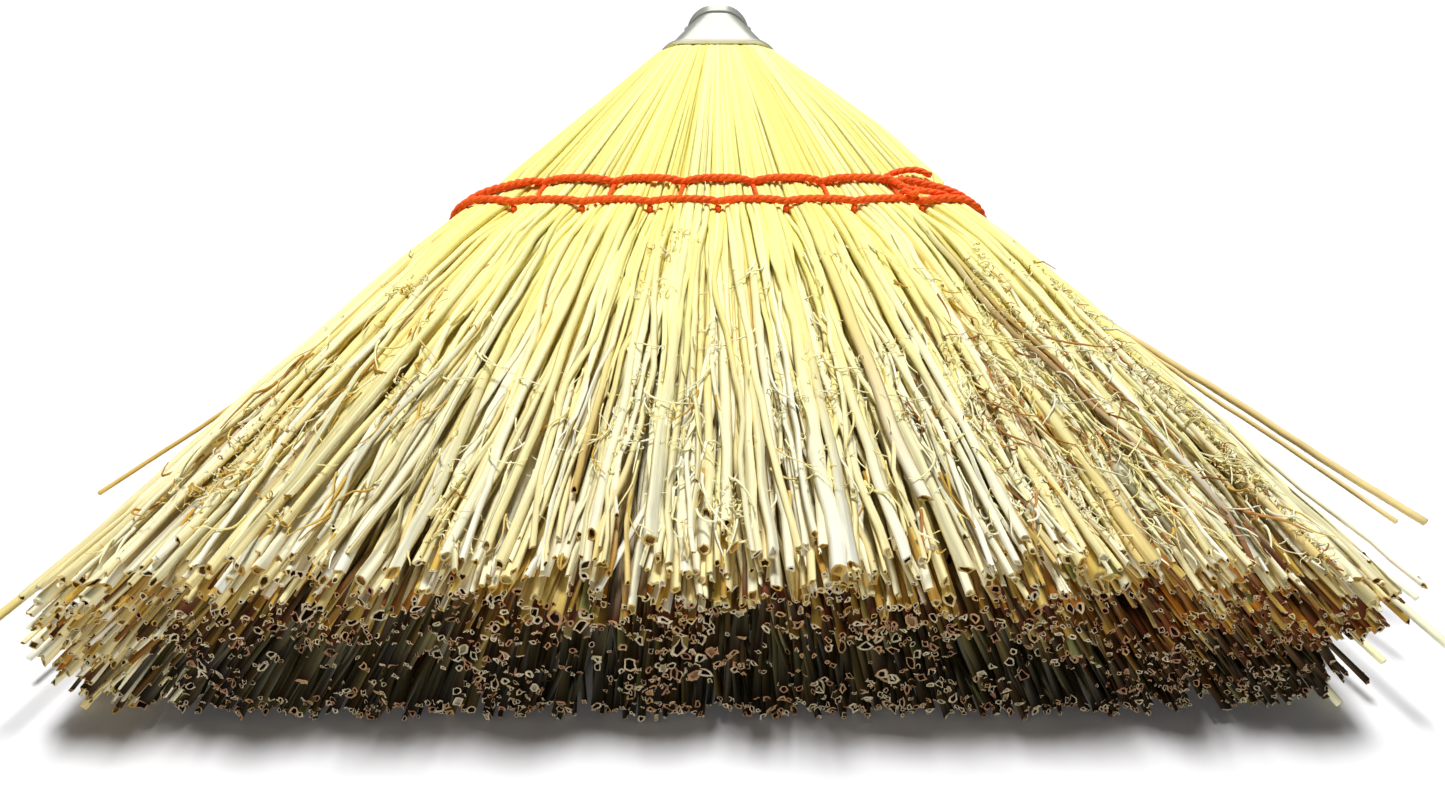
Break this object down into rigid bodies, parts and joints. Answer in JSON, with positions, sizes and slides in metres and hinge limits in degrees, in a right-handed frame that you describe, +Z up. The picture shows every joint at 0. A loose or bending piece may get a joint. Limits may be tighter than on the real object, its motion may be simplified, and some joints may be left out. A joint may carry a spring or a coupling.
{
  "type": "whisk broom",
  "caption": "Hand whisk broom of bound corn straw, stitched flat with red twine, with a tapered metal sleeve for a grip and a hanging ring.",
  "frame": {"origin": "on the surface that the broom lies on, under the middle of its box", "axes": "+Z up from that surface, +Y from the cut tips to the hanging ring, +X across the broom"},
  "size_m": [0.2318, 0.328, 0.0345],
  "materials": {
    "corn": "dry, slightly glossy broomcorn stalks",
    "twine": "twisted waxed twine",
    "tin_plate": "bright tin plate",
    "steel_wire": "bright zinc-plated wire"
  },
  "bodies": {
    "broom": {"top_hurl": "corn", "bottom_hurl": "corn", "inner_corn": "corn", "left_side_corn": "corn", "right_side_corn": "corn", "stalk_butts": "corn", "binding_wire": "steel_wire", "metal_sleeve": "tin_plate", "end_cap": "tin_plate", "sleeve_tacks": "steel_wire", "ring_eye": "steel_wire", "lower_row_twine": "twine", "upper_row_twine": "twine", "lower_row_stitches": "twine", "upper_row_stitches": "twine", "row_links": "twine", "tie_off_tail": "twine"},
    "ring": {"hang_ring": "steel_wire"}
  },
  "joints": [
    {"name": "ring_swing", "type": "hinge", "parent": "broom", "child": "ring", "pos_m": [0, 0.141, 0.011], "axis": [1, 0, 0], "range_deg": [-90, 135]}
  ]
}
